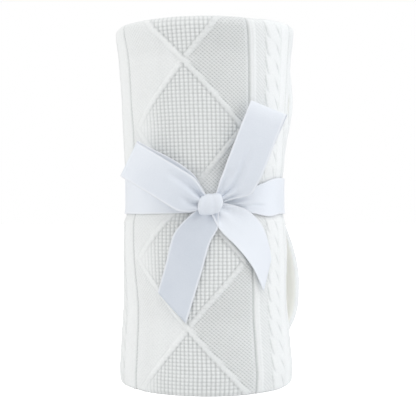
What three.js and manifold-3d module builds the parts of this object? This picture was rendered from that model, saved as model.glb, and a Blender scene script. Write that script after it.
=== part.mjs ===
// A knitted baby blanket, folded in thirds, rolled up and tied with a satin ribbon.
// It stands on one end of the roll. Millimetres, +Z up, front towards -Y.
import * as THREE from "three";
import Module from "manifold-3d";

const wasm = await Module();
wasm.setup();

// Roll: the spiral is counted from the loose end inwards, round the back first
const rollHeight = 254;
const turnPitch = 11.8;
const spiralRadius = 67.8;
const pole = { x: 2.8, y: -2.95 };
const looseEndAzimuth = 122;
const stepsPerTurn = 30;
const layerThickness = 2.8;

// Outer radius of the roll at each height, drawn in at the ribbon
const nominalRadius = 60;
const girth = [
  { z: 0, radius: 59.9 },
  { z: 1.2, radius: 61.3 },
  { z: 12, radius: 62.2 },
  { z: 32, radius: 60.9 },
  { z: 59, radius: 58.8 },
  { z: 95, radius: 58.7 },
  { z: 116, radius: 57.9 },
  { z: 125, radius: 56.2 },
  { z: 144, radius: 56.2 },
  { z: 158, radius: 57.2 },
  { z: 180, radius: 58.2 },
  { z: 205, radius: 59.5 },
  { z: 234, radius: 61.9 },
  { z: 246, radius: 63.7 },
  { z: 251.5, radius: 63.2 },
  { z: 253.6, radius: 61.5 },
  { z: 254, radius: 59.7 },
];

// The roll leans a little to its right towards the foot
const lean = [
  { z: 0, shift: 1.4 },
  { z: 15, shift: 1.8 },
  { z: 30, shift: 1.5 },
  { z: 60, shift: 0.8 },
  { z: 110, shift: 0.5 },
  { z: 170, shift: 0.4 },
  { z: 210, shift: 0.8 },
  { z: 254, shift: 0.8 },
];

// Spiral grooves between the turns, cut into both ends
const grooveSection = [
  { across: -2.4, depth: -1 },
  { across: -2.4, depth: 0 },
  { across: 0, depth: 5 },
  { across: 2.4, depth: 0 },
  { across: 2.4, depth: -1 },
  { across: 0, depth: -1.2 },
];
const grooveEndRadius = 13;
const grooveStartTurns = 0.96;
const grooveRunOut = { length: 6, leastShare: 0.2 };

// Uneven lie of a hand-rolled cloth; it calms down under the ribbon
const unevenLie = { amount: 0.35, rise: 40, calmHalfHeight: 60 };

// Loose end: the outer layer stands off the roll above and below the ribbon
const looseSpan = 60;
const looseLap = 4;
const recessFade = 10;
const looseCurve = 1.6;
const looseGap = 0.6;
const looseColumns = 6;
const looseEdge = [
  { z: 1.2, standOff: 0 },
  { z: 12, standOff: 0.2 },
  { z: 22, standOff: 1.2 },
  { z: 32, standOff: 4.1 },
  { z: 40, standOff: 9.6 },
  { z: 50, standOff: 13.9 },
  { z: 59, standOff: 15.7 },
  { z: 70, standOff: 16 },
  { z: 84, standOff: 14 },
  { z: 95, standOff: 10.9 },
  { z: 110, standOff: 5.3 },
  { z: 116, standOff: 2.6 },
  { z: 120, standOff: 0.5 },
  { z: 125, standOff: 0 },
  { z: 144, standOff: 0 },
  { z: 151, standOff: 0.7 },
  { z: 158, standOff: 1.8 },
  { z: 170, standOff: 4.1 },
  { z: 180, standOff: 5.5 },
  { z: 191, standOff: 7.6 },
  { z: 205, standOff: 8.8 },
  { z: 218, standOff: 6.9 },
  { z: 234, standOff: 3.4 },
  { z: 246, standOff: 0.8 },
  { z: 251.5, standOff: 0 },
];

// Knit pattern, measured along the cloth from the loose end
const patternRepeat = 134;
const diamondMiddle = 251.2;
const diamondHalfWidth = 40;
const diamondPitch = 90;
const firstCrossing = 45.2;
const ribOffset = 49;
const rib = { width: 4.6, rise: 1.1, sink: 0.8, spacing: 12 };
const trellis = { width: 4, rise: 0.9, sink: 0.8, spacing: 15, cutBack: 1.2 };
const overTrellis = { ...trellis, rise: 1.25, cutBack: 0 };
const cable = { pitch: 12, length: 16, lean: 5.5, width: 8.5, rise: 1.7, sink: 0.8, overrun: 2 };
const patternTilt = -0.018;
const patternStart = 7;
const patternEnd = 366;
const plainEdge = 3;
const barFlatShare = 0.45;
const barEndMargin = 1.5;
const barSamples = 60;
const fewestSamples = 6;
const ribbonPress = { share: 0.15, fullHalf: 17, fade: 14 };

// How far the front panel is pulled along the roll, at its left, middle and right
const frontLie = [
  { z: 0, left: 3.7, middle: 0, right: 0 },
  { z: 45, left: 3.8, middle: 0, right: 0.1 },
  { z: 67, left: 2.2, middle: 0.15, right: 0.7 },
  { z: 85, left: -0.4, middle: -0.05, right: 0.2 },
  { z: 100, left: -2.1, middle: -0.25, right: -0.3 },
  { z: 127, left: -3.8, middle: -0.45, right: -0.6 },
  { z: 180, left: -3.6, middle: -1.3, right: -1.4 },
  { z: 200, left: -5.2, middle: -1.95, right: -2.8 },
  { z: 222, left: -4.7, middle: -2.6, right: -4.5 },
  { z: 240, left: -6.1, middle: -3.4, right: -6.3 },
  { z: 254, left: -8.9, middle: -4.3, right: -8.8 },
];
const frontLieReach = { full: 76, end: 125 };
const leftStretch = { share: 0.3, length: 30 };

// Ribbon
const ribbonWidth = 25.4;
const ribbonThickness = 1;
const bandMiddle = 134.5;
const bandGap = 1.2;
const bandChord = 30;
const gather = { azimuth: 4, span: 60, share: 0.55, drop: 6 };
const knotPlace = { x: 4.5, y: -64.3, z: 128.5 };
const knotSize = { x: 8.2, y: 4.6, z: 6.8 };
const knotLevels = [-0.97, -0.7, -0.25, 0.25, 0.7, 0.97];
const knotSides = 12;

const radians = THREE.MathUtils.degToRad;
const turn = 2 * Math.PI;

// Linear value of a table at a key
function lookUp(rows, keyName, valueName, key) {
  const last = rows[rows.length - 1];
  if (key >= last[keyName]) return last[valueName];
  const above = Math.max(1, rows.findIndex((row) => row[keyName] > key));
  const low = rows[above - 1];
  const high = rows[above];
  const share = Math.max(0, (key - low[keyName]) / (high[keyName] - low[keyName]));
  return THREE.MathUtils.lerp(low[valueName], high[valueName], share);
}

// A smooth hump that is 1 at its middle and 0 at its ends
function hump(distance, halfWidth) {
  const share = Math.min(1, Math.abs(distance) / halfWidth);
  return Math.cos((share * Math.PI) / 2) ** 2;
}

// Radius of the cloth's outer face
function wallRadius(angle, z) {
  const azimuth = angle + radians(looseEndAzimuth);
  const spiral = spiralRadius - (turnPitch * angle) / turn;
  const calm = 1 - hump(z - bandMiddle, unevenLie.calmHalfHeight);
  const lie = unevenLie.amount * Math.sin(2 * azimuth + z / unevenLie.rise) * calm;
  return (spiral * lookUp(girth, "z", "radius", z)) / nominalRadius + lie;
}

// How far the loose outer layer stands off, from nothing at its root
function standOff(angle, z) {
  const reach = Math.max(0, 1 - angle / radians(looseSpan)) ** looseCurve;
  return lookUp(looseEdge, "z", "standOff", z) * reach;
}

// A point at a radius and an azimuth about the pole, moved by the lean at a height
function aroundPole(radius, azimuth, leanHeight, z) {
  const x = pole.x + lookUp(lean, "z", "shift", leanHeight) + radius * Math.sin(azimuth);
  return new THREE.Vector3(x, pole.y - radius * Math.cos(azimuth), z);
}

function clothPoint(angle, z, offset) {
  return aroundPole(wallRadius(angle, z) + offset, angle + radians(looseEndAzimuth), z, z);
}

// Angle round the roll at a distance along the cloth from the loose end
function angleAt(distance) {
  const rate = turnPitch / turn;
  return (spiralRadius - Math.sqrt(spiralRadius ** 2 - 2 * rate * distance)) / rate;
}

// A closed solid through rings of points with the same even count; the end rings close as ladders
function loft(rings, closed = false) {
  const count = rings[0].length;
  const points = rings.flat();
  const triangles = [];
  const quad = (a, b, c, d) => triangles.push(a, b, c, a, c, d);
  const spans = closed ? rings.length : rings.length - 1;
  for (let i = 0; i < spans; i++) {
    const here = i * count;
    const there = ((i + 1) % rings.length) * count;
    for (let j = 0; j < count; j++) {
      const next = (j + 1) % count;
      quad(here + j, there + j, there + next, here + next);
    }
  }
  const cap = (base, flip) => {
    for (let j = 0; j + 1 < count / 2; j++) {
      const corners = [j, j + 1, count - 2 - j, count - 1 - j].map((k) => base + k);
      if (flip) corners.reverse();
      if (new Set(corners).size === 4) quad(...corners);
    }
  };
  if (!closed) {
    cap(0, false);
    cap((rings.length - 1) * count, true);
  }
  let volume = 0;
  for (let t = 0; t < triangles.length; t += 3) {
    const [a, b, c] = [0, 1, 2].map((k) => points[triangles[t + k]]);
    volume += a.dot(new THREE.Vector3().crossVectors(b, c));
  }
  if (volume < 0) triangles.reverse();
  const vertProperties = new Float32Array(points.flatMap((p) => [p.x, p.y, p.z]));
  const triVerts = new Uint32Array(triangles);
  return new wasm.Manifold(new wasm.Mesh({ numProp: 3, vertProperties, triVerts }));
}

function joinAll(solids) {
  return solids.reduce((whole, solid) => whole.add(solid));
}

// The wound form: one turn of outer wall, with a step where the next turn begins
function woundForm() {
  const recess = (angle) => {
    const share = (radians(looseSpan) - angle) / radians(recessFade);
    return layerThickness * Math.min(1, Math.max(0, share));
  };
  const rings = girth.map(({ z }) => {
    const ring = [];
    for (let i = 0; i <= stepsPerTurn; i++) {
      const angle = (i / stepsPerTurn) * turn;
      ring.push(clothPoint(angle, z, -recess(angle)));
    }
    ring.push(ring[0].clone().lerp(ring[stepsPerTurn], 0.5));
    return ring;
  });
  return loft(rings);
}

// The groove between two turns, on the end at a height, with its depth going down or up
function spiralGroove(endHeight, inward) {
  const rings = [];
  const first = Math.round(grooveStartTurns * stepsPerTurn);
  const girthShare = lookUp(girth, "z", "radius", endHeight) / nominalRadius;
  for (let i = first; ; i++) {
    const angle = (i / stepsPerTurn) * turn;
    const radius = (spiralRadius - (turnPitch * angle) / turn) * girthShare;
    if (radius < grooveEndRadius) break;
    const azimuth = angle + radians(looseEndAzimuth);
    const beyondEnd = (radius - grooveEndRadius) / grooveRunOut.length;
    const depthShare = Math.min(1, beyondEnd + grooveRunOut.leastShare);
    rings.push(grooveSection.map(({ across, depth }) => {
      const level = endHeight + inward * Math.max(depth * depthShare, Math.min(depth, 0));
      return aroundPole(radius + across, azimuth, endHeight, level);
    }));
  }
  return loft(rings);
}

// The outer layer at the loose end, a sheet that parts from the roll
function looseLayer() {
  const rings = [];
  for (let i = 0; i <= looseColumns; i++) {
    const angle = radians(looseSpan + looseLap) * (i / looseColumns);
    const outside = looseEdge.map(({ z }) => clothPoint(angle, z, standOff(angle, z)));
    const inside = looseEdge.map(({ z }) => {
      const off = standOff(angle, z);
      return clothPoint(angle, z, off - layerThickness - Math.max(0, looseGap - off));
    });
    rings.push([...outside, ...inside.reverse()]);
  }
  return loft(rings);
}

function clampHeight(z) {
  return THREE.MathUtils.clamp(z, barEndMargin, rollHeight - barEndMargin);
}

// A raised bar along the cloth; rows hold distance, height, half width and rise
function raisedBar(rows, sink) {
  const across = new THREE.Vector2();
  const rings = rows.map((row, i) => {
    const before = rows[Math.max(0, i - 1)];
    const after = rows[Math.min(rows.length - 1, i + 1)];
    across.set(-(after.z - before.z), after.distance - before.distance).normalize();
    const beyond = Math.max(0, Math.abs(row.z - bandMiddle) - ribbonPress.fullHalf);
    const press = 1 - (1 - ribbonPress.share) * hump(beyond, ribbonPress.fade);
    const top = row.rise * press;
    const corners = [[-1, -sink], [-barFlatShare, top], [barFlatShare, top], [1, -sink]];
    return corners.map(([side, rise]) => {
      const z = clampHeight(row.z + side * row.half * across.y);
      const angle = angleAt(row.distance + side * row.half * across.x);
      return clothPoint(angle, z, rise + standOff(angle, z));
    });
  });
  return loft(rings);
}

// Distance where the pattern lies at a height; the front panel is pulled along by hand
function laid(distance, z) {
  const plain = (z - rollHeight / 2) * patternTilt;
  const fromMiddle = distance - diamondMiddle;
  const across = THREE.MathUtils.clamp(fromMiddle / ribOffset, -1, 1);
  const [left, middle, right] = ["left", "middle", "right"].map((side) => lookUp(frontLie, "z", side, z));
  const bow = ((right - left) / 2) * across + ((right + left) / 2 - middle) * across ** 2;
  const beyondRib = THREE.MathUtils.clamp(-fromMiddle - ribOffset, 0, leftStretch.length);
  const front = middle + bow - leftStretch.share * beyondRib;
  const shown = 1 - THREE.MathUtils.smoothstep(Math.abs(fromMiddle), frontLieReach.full, frontLieReach.end);
  return distance + plain + (front - plain) * shown;
}

// A raised bar between two places, cut off where the pattern stops
function straightBar(fromPlace, toPlace, size) {
  const placeAt = (t) => {
    const z = THREE.MathUtils.lerp(fromPlace.z, toPlace.z, t);
    return { distance: laid(THREE.MathUtils.lerp(fromPlace.distance, toPlace.distance, t), z), z };
  };
  const inside = (t) => {
    const { distance, z } = placeAt(t);
    return distance > patternStart && distance < patternEnd && z === clampHeight(z);
  };
  const shown = Array.from({ length: barSamples + 1 }, (_, k) => k / barSamples).filter(inside);
  if (shown.length < fewestSamples) return [];
  const [low, high] = [shown[0], shown[shown.length - 1]];
  const whole = Math.hypot(toPlace.distance - fromPlace.distance, toPlace.z - fromPlace.z);
  const length = (high - low) * whole;
  const steps = Math.max(1, Math.round(length / size.spacing));
  const rows = [];
  for (let k = 0; k <= steps; k++) {
    const t = THREE.MathUtils.lerp(low, high, k / steps);
    rows.push({ ...placeAt(t), half: size.width / 2, rise: size.rise });
  }
  return [raisedBar(rows, size.sink)];
}

// Diamonds: slanted ridges that cross on the panel's middle line, the falling ones on top
function diamonds(middle) {
  const bars = [];
  const highest = rollHeight + diamondPitch;
  for (let crossing = firstCrossing - diamondPitch; crossing < highest; crossing += diamondPitch) {
    for (const [slant, size] of [[1, trellis], [-1, overTrellis]]) {
      const half = diamondHalfWidth - size.cutBack;
      const climb = (slant * half * diamondPitch) / 2 / diamondHalfWidth;
      const left = { distance: middle - half, z: crossing - climb };
      const right = { distance: middle + half, z: crossing + climb };
      bars.push(...straightBar(left, right, size));
    }
  }
  return bars;
}

function ribs(middle) {
  return [-1, 1].flatMap((side) => {
    const distance = middle + side * ribOffset;
    return straightBar({ distance, z: plainEdge }, { distance, z: rollHeight - plainEdge }, rib);
  });
}

// A rope cable: slanted strands one above the other
function ropeCable(middle) {
  const strands = [];
  const first = plainEdge + cable.length / 2 - cable.overrun;
  for (let z = first; z < rollHeight - first; z += cable.pitch) {
    const centre = laid(middle, z);
    if (centre < patternStart + cable.lean || centre > patternEnd - cable.lean) continue;
    const rows = [
      { along: -0.5, half: 0.4, rise: 0.3 },
      { along: 0, half: 1, rise: 1 },
      { along: 0.5, half: 0.4, rise: 0.3 },
    ].map(({ along, half, rise }) => ({
      distance: centre + 2 * along * cable.lean,
      z: z - along * Math.sqrt(cable.length ** 2 - (2 * cable.lean) ** 2),
      half: (half * cable.width) / 2,
      rise: rise * cable.rise,
    }));
    strands.push(raisedBar(rows, cable.sink));
  }
  return strands;
}

function blanketSolid() {
  const relief = [];
  for (let repeat = -2; repeat <= 1; repeat++) {
    const middle = diamondMiddle + repeat * patternRepeat;
    relief.push(...diamonds(middle), ...ribs(middle), ...ropeCable(middle + patternRepeat / 2));
  }
  return joinAll([woundForm(), looseLayer(), ...relief])
    .subtract(spiralGroove(rollHeight, -1))
    .subtract(spiralGroove(0, 1));
}

// A strip of ribbon through stations; each has its two edge points and a facing direction
function ribbonStrip(stations) {
  return loft(stations.map(({ left, middle, right, facing, thickness = ribbonThickness }) => {
    const half = facing.clone().setLength(thickness / 2);
    const front = [left, middle, right].map((p) => p.clone().add(half));
    const back = [right, middle, left].map((p) => p.clone().sub(half));
    return [...front, ...back];
  }));
}

// The band round the roll; it spans straight over the step at the loose end
function band() {
  const bandStart = looseEndAzimuth;
  const chordStart = bandStart + 360 - bandChord;
  const gathered = (azimuth) => hump(((azimuth + 540) % 360) - 180 - gather.azimuth, gather.span);
  const rings = [];
  for (let azimuth = bandStart; azimuth < bandStart + 360; azimuth += 360 / stepsPerTurn) {
    const half = (ribbonWidth / 2) * (1 - gather.share * gathered(azimuth));
    const middle = bandMiddle - gather.drop * gathered(azimuth);
    const place = (offset, side) => {
      const at = (a) => clothPoint(radians(a - looseEndAzimuth), middle + side * half, offset);
      if (azimuth <= chordStart) return at(azimuth);
      return at(chordStart).lerp(at(bandStart), (azimuth - chordStart) / bandChord);
    };
    const outer = bandGap + ribbonThickness;
    rings.push([place(bandGap, -1), place(bandGap, 1), place(outer, 1), place(outer, -1)]);
  }
  return loft(rings, true);
}

const knotPoint = new THREE.Vector3(knotPlace.x, knotPlace.y, knotPlace.z);

function knot() {
  const rings = [];
  for (const level of knotLevels) {
    const girthHere = Math.sqrt(1 - level * level);
    const ring = [];
    for (let k = 0; k < knotSides; k++) {
      const angle = (k / knotSides) * turn;
      const offset = new THREE.Vector3(
        knotSize.x * girthHere * Math.cos(angle),
        knotSize.y * girthHere * Math.sin(angle),
        knotSize.z * level,
      );
      ring.push(knotPoint.clone().add(offset));
    }
    rings.push(ring);
  }
  return loft(rings);
}

// Loops: a strip leaves the knot, folds at the far end and comes back in front of itself
const leftLoop = {
  end: { x: -50.6, z: 158.8 },
  backEnd: { x: -50.2, z: 160 },
  heading: 154.2,
  bow: { x: 0, z: -2.5 },
  rootHalf: 0.66,
  backDrift: 2.6,
  standsBack: 9,
};
const rightLoop = {
  end: { x: 43.3, z: 193 },
  backEnd: { x: 44.2, z: 192.6 },
  heading: 68.1,
  bow: { x: 10, z: 0 },
  rootHalf: 0.92,
  backDrift: 1.2,
  standsBack: 2,
};

// From the knot out along the back layer, side -1, and home along the front layer, side 1
const loopRows = [
  { share: 0.04, half: 0.3, bend: 0.3, depth: 0.6, thickness: 2.4, side: -1 },
  { share: 0.18, half: null, bend: 1, depth: 2.1, thickness: 1.3, side: -1 },
  { share: 0.36, half: 1, bend: 0.85, depth: 3.4, thickness: 1, side: -1 },
  { share: 0.65, half: 1, bend: 0.45, depth: 3.4, thickness: 1, side: -1 },
  { share: 0.9, half: 1, bend: 0.12, depth: 2.4, thickness: 1, side: -1 },
  { share: 0.985, half: 1, bend: 0.02, depth: 1.3, thickness: 1, side: -1 },
  { share: 1, half: 1, bend: 0, depth: 0, thickness: 1, side: 0 },
  { share: 0.985, half: 1, bend: 0.02, depth: 1.3, thickness: 1, side: 1 },
  { share: 0.9, half: 1, bend: 0.12, depth: 2.4, thickness: 1, side: 1 },
  { share: 0.65, half: 1, bend: 0.45, depth: 3.2, thickness: 1, side: 1 },
  { share: 0.36, half: 1, bend: 0.85, depth: 3, thickness: 1, side: 1 },
  { share: 0.18, half: null, bend: 1, depth: 1.9, thickness: 1.3, side: 1 },
  { share: 0.04, half: 0.3, bend: 0.3, depth: 0.6, thickness: 2.4, side: 1 },
];

function loop({ end, backEnd, heading, bow, rootHalf, backDrift, standsBack }) {
  const along = new THREE.Vector3(Math.cos(radians(heading)), 0, Math.sin(radians(heading)));
  return ribbonStrip(loopRows.map(({ share, half, bend, depth, thickness, side }) => {
    const target = side < 0 ? backEnd : end;
    const drift = side < 0 ? backDrift * hump(share - 0.5, 0.5) : 0;
    const middle = new THREE.Vector3(
      THREE.MathUtils.lerp(knotPoint.x, target.x, share) + bow.x * bend,
      knotPoint.y + standsBack * share ** 2 - side * depth,
      THREE.MathUtils.lerp(knotPoint.z, target.z, share) + bow.z * bend + drift,
    );
    const reach = ((half ?? rootHalf) * ribbonWidth) / 2;
    const across = new THREE.Vector3(-along.z, 0, along.x).multiplyScalar(reach);
    const turned = share > 0.95 ? along.clone().multiplyScalar(1 - Math.abs(side) / 2) : new THREE.Vector3();
    const facing = turned.add(new THREE.Vector3(0, -side, 0));
    return { left: middle.clone().add(across), middle, right: middle.clone().sub(across), facing, thickness };
  }));
}

// Tails: from the knot down over the face of the roll, each cut at a slant
const leftTail = [
  { leftAzimuth: -2.4, leftZ: 129, rightAzimuth: 6.6, rightZ: 126.5, offset: 4.8 },
  { leftAzimuth: -13.8, leftZ: 119, rightAzimuth: 6.1, rightZ: 114, offset: 3.6 },
  { leftAzimuth: -22.2, leftZ: 107.8, rightAzimuth: 1, rightZ: 103, offset: 3 },
  { leftAzimuth: -27.5, leftZ: 87.5, rightAzimuth: -4.7, rightZ: 82, offset: 2.8 },
  { leftAzimuth: -33.1, leftZ: 69, rightAzimuth: -14.1, rightZ: 49, offset: 3 },
];
const rightTail = [
  { leftAzimuth: 0.6, leftZ: 125, rightAzimuth: 7.6, rightZ: 130, offset: 4.8 },
  { leftAzimuth: 6.6, leftZ: 112, rightAzimuth: 24.2, rightZ: 125.5, offset: 3.8 },
  { leftAzimuth: 18.6, leftZ: 99, rightAzimuth: 38.5, rightZ: 112, offset: 3 },
  { leftAzimuth: 29.5, leftZ: 85, rightAzimuth: 43.4, rightZ: 99, offset: 3.1 },
  { leftAzimuth: 37.7, leftZ: 69.6, rightAzimuth: 45.4, rightZ: 91, offset: 3.1 },
];

function tail(rows) {
  return ribbonStrip(rows.map((row) => {
    const place = (azimuth, z) => clothPoint(radians(azimuth + 360 - looseEndAzimuth), z, row.offset);
    const middleAzimuth = (row.leftAzimuth + row.rightAzimuth) / 2;
    return {
      left: place(row.leftAzimuth, row.leftZ),
      middle: place(middleAzimuth, (row.leftZ + row.rightZ) / 2),
      right: place(row.rightAzimuth, row.rightZ),
      facing: new THREE.Vector3(Math.sin(radians(middleAzimuth)), -Math.cos(radians(middleAzimuth)), 0),
    };
  }));
}

function ribbonSolid() {
  return joinAll([band(), knot(), loop(leftLoop), loop(rightLoop), tail(leftTail), tail(rightTail)]);
}

function meshOf(name, solid, material) {
  const { vertProperties, triVerts } = solid.getMesh();
  const geometry = new THREE.BufferGeometry();
  geometry.setAttribute("position", new THREE.BufferAttribute(new Float32Array(vertProperties), 3));
  geometry.setIndex(new THREE.BufferAttribute(new Uint32Array(triVerts), 1));
  const mesh = new THREE.Mesh(geometry, material);
  mesh.name = name;
  return mesh;
}

const knit = new THREE.MeshStandardMaterial({ color: "#eef0f1", roughness: 0.95, metalness: 0 });
const satin = new THREE.MeshStandardMaterial({ color: "#eef2f8", roughness: 0.35, metalness: 0 });

const rolledBlanket = new THREE.Group();
rolledBlanket.add(meshOf("blanket", blanketSolid(), knit));
rolledBlanket.add(meshOf("ribbon", ribbonSolid(), satin));

export default rolledBlanket;
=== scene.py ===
# A knitted baby blanket, folded in thirds, rolled up and tied with a satin ribbon
import math

import bpy
import numpy as np
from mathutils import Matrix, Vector


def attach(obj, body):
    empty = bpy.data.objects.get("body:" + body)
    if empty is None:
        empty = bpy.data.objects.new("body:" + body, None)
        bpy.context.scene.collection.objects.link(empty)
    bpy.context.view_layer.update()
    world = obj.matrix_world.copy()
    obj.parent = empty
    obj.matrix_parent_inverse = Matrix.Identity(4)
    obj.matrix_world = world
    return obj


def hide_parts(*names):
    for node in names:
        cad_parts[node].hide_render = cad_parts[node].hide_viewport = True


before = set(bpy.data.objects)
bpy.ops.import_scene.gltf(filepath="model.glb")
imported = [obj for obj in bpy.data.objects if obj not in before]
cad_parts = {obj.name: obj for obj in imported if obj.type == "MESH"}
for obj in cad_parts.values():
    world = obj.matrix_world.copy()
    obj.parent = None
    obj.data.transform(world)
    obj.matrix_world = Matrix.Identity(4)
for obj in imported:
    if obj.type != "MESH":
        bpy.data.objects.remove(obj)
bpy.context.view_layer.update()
turn, joined = 2 * math.pi, np.concatenate
print("frame loaded:", sorted(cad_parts))

# Camera, straight in front of the roll's middle
view = {"place": (0.0029, -0.693, 0.1263), "lens": 81.7, "near": 0.02}


def addObject(name, data, place=(0, 0, 0)):
    added = bpy.data.objects.new(name, data)
    added.location = place
    bpy.context.scene.collection.objects.link(added)
    return added


def makeCamera():
    data = bpy.data.cameras.new("camera")
    data.lens = view["lens"]
    data.clip_start = view["near"]
    camera = addObject("camera", data, view["place"])
    camera.rotation_euler = (math.pi / 2, 0, 0)
    bpy.context.scene.camera = camera


makeCamera()
print("camera placed")

# The roll in metres and radians; its spiral is counted from the loose end inwards
roll = {
    "height": 0.254,
    "radius": 0.0678,  # at the loose end
    "pitch": 0.0118, "pole": (0.0028, -0.00295), "looseEnd": math.radians(122), "nominal": 0.06,
    "girth": (  # height, outer radius
        (0, 0.0613), (0.012, 0.0622), (0.032, 0.0609), (0.059, 0.0588), (0.095, 0.0587),
        (0.116, 0.0579), (0.125, 0.0562), (0.144, 0.0562), (0.158, 0.0572), (0.18, 0.0582),
        (0.205, 0.0595), (0.234, 0.0619), (0.246, 0.0637), (0.254, 0.064),
    ),
    "girthRows": 509, "girthSmoothing": 0.004,
    "lean": (  # height, shift to its right
        (0, 0.0014), (0.015, 0.0018), (0.03, 0.0015), (0.06, 0.0008), (0.11, 0.0005), (0.17, 0.0004),
        (0.21, 0.0008), (0.254, 0.0008),
    ),
    "lie": {"amount": 0.00035, "rise": 0.04, "calm": 0.06},
    "corners": (  # degrees, how far the top stands up
        (-180, 0.001), (-135, 0.0014), (-90, 0.002), (-40, 0), (30, 0), (85, 0.003), (135, 0.0024),
        (180, 0.001),
    ),
    "cornersFrom": 0.19,  # height
}

# The cloth: a letter fold, the middle third outside
cloth = {
    "width": 0.762, "thickness": 0.0028,
    "room": 0.0039,  # a layer with its air
    "topFold": 0.0053, "bottomFold": 0.00335,
    "square": 0.75,  # 1 is a half circle, less is squarer
    "tuck": 0.004,  # how far the fine face runs on inside
    "innerTuck": 0.006,
    "thirdLow": 0.0028,  # height of one edge of the cloth
    "secondOver": 0.0002,  # the other edge above the top fold's start
    "innerLaid": 0.274,  # start of the inside along the outline
    "faceRows": 24, "backRows": 12, "topRows": 6, "bottomRows": 3, "rimRound": 0.0009, "leeway": 0.0001,
}

# The outer layer's loose end stands off the roll above and below the ribbon
loose = {
    "span": math.radians(60), "curve": 1.6,
    "hem": 0.0014,  # the edge is that much thicker
    "hemWidth": 0.007,
    "hemFull": 0.003,  # stand-off where it is full
    "edge": (  # height, stand-off
        (0.0012, 0), (0.012, 0.0002), (0.022, 0.0012), (0.032, 0.0041), (0.04, 0.0096), (0.05, 0.0139),
        (0.059, 0.0157), (0.07, 0.016), (0.084, 0.014), (0.095, 0.0109), (0.11, 0.0053),
        (0.116, 0.0026), (0.12, 0.0005), (0.125, 0), (0.144, 0), (0.151, 0.0007), (0.158, 0.0018),
        (0.17, 0.0041), (0.18, 0.0055), (0.191, 0.0076), (0.205, 0.0088), (0.218, 0.0069),
        (0.234, 0.0034), (0.246, 0.0008), (0.2515, 0),
    ),
}

band = {
    "width": 0.0254, "thickness": 0.0006, "middle": 0.1345, "gap": 0.0011,
    "chord": 30,  # degrees spanned straight, before the step at the loose end
    "step": 1.5, "gatherAt": 4, "gatherSpan": 60, "gatherShare": 0.55, "gatherRise": 0.0006,
    "drop": 0.006, "pleats": {"at": 14, "half": 22, "waves": 7, "shift": 0.6, "depth": 0.0011},
    "sag": {"at": 43, "half": 18, "depth": 0.0018},  # of the lower edge, right of the knot
    "crease": {"at": 32, "half": 10, "across": -0.35, "width": 0.2, "depth": 0.0012},
}


def hump(distance, halfWidth):
    share = np.minimum(1, np.abs(distance) / halfWidth)
    return np.cos(share * math.pi / 2) ** 2


def easeIn(value, low, high):
    share = np.clip((value - low) / (high - low), 0, 1)
    return share * share * (3 - 2 * share)


def mixed(first, second, share):
    return first * (1 - share) + second * share


def wrapped(value, period):
    return (value + period / 2) % period - period / 2


def smoothGirth():
    heights = np.linspace(0, roll["height"], roll["girthRows"])
    radii = np.interp(heights, *zip(*roll["girth"]))
    reach = int(roll["girthSmoothing"] / (heights[1] - heights[0]))
    weights = np.hanning(2 * reach + 3)[1:-1]
    padded = np.pad(radii, reach, mode="edge")
    return heights, np.convolve(padded, weights / weights.sum(), "valid") / roll["nominal"]


girthTable = smoothGirth()


def angleAt(distance):
    rate = roll["pitch"] / turn
    return (roll["radius"] - np.sqrt(roll["radius"] ** 2 - 2 * rate * distance)) / rate


def lieAt(azimuth, z):
    lie = roll["lie"]
    calm = 1 - hump(z - band["middle"], lie["calm"])
    return lie["amount"] * np.sin(2 * azimuth + z / lie["rise"]) * calm


# A smooth curve through the points of a table that never swings past them
def smoothTable(keys, values, wanted):
    keys, values = np.array(keys, float), np.array(values, float)
    secants = np.diff(values) / np.diff(keys)
    before, after = secants[:-1], secants[1:]
    agree = before * after > 0
    inner = np.where(agree, 2 * before * after / np.where(agree, before + after, 1), 0)
    slope = joined([secants[:1], inner, secants[-1:]])
    k = np.clip(np.searchsorted(keys, wanted) - 1, 0, len(keys) - 2)
    gap = keys[k + 1] - keys[k]
    t = np.clip((wanted - keys[k]) / gap, 0, 1)
    return (
        values[k] * (1 + 2 * t) * (1 - t) ** 2 + values[k + 1] * t * t * (3 - 2 * t)
        + gap * (slope[k] * t * (1 - t) ** 2 - slope[k + 1] * t * t * (1 - t))
    )


def standOff(angle, z):
    reach = np.maximum(0, 1 - angle / loose["span"]) ** loose["curve"]
    return smoothTable(*zip(*loose["edge"]), z) * reach


# A place on the wound cloth, some depth inside its outer face and lifted off it
def woundPlace(angle, z, depth, lift):
    azimuth = angle + roll["looseEnd"]
    spiral = roll["radius"] - roll["pitch"] * angle / turn - depth
    radius = spiral * np.interp(z, *girthTable) + lieAt(azimuth, z) + lift
    x = roll["pole"][0] + np.interp(z, *zip(*roll["lean"])) + radius * np.sin(azimuth)
    y = roll["pole"][1] - radius * np.cos(azimuth)
    corner = np.interp(wrapped(np.degrees(azimuth), 360), *zip(*roll["corners"]))
    raised = z + corner * easeIn(z, roll["cornersFrom"], roll["height"])
    return np.stack(np.broadcast_arrays(x, y, raised), -1)


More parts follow.
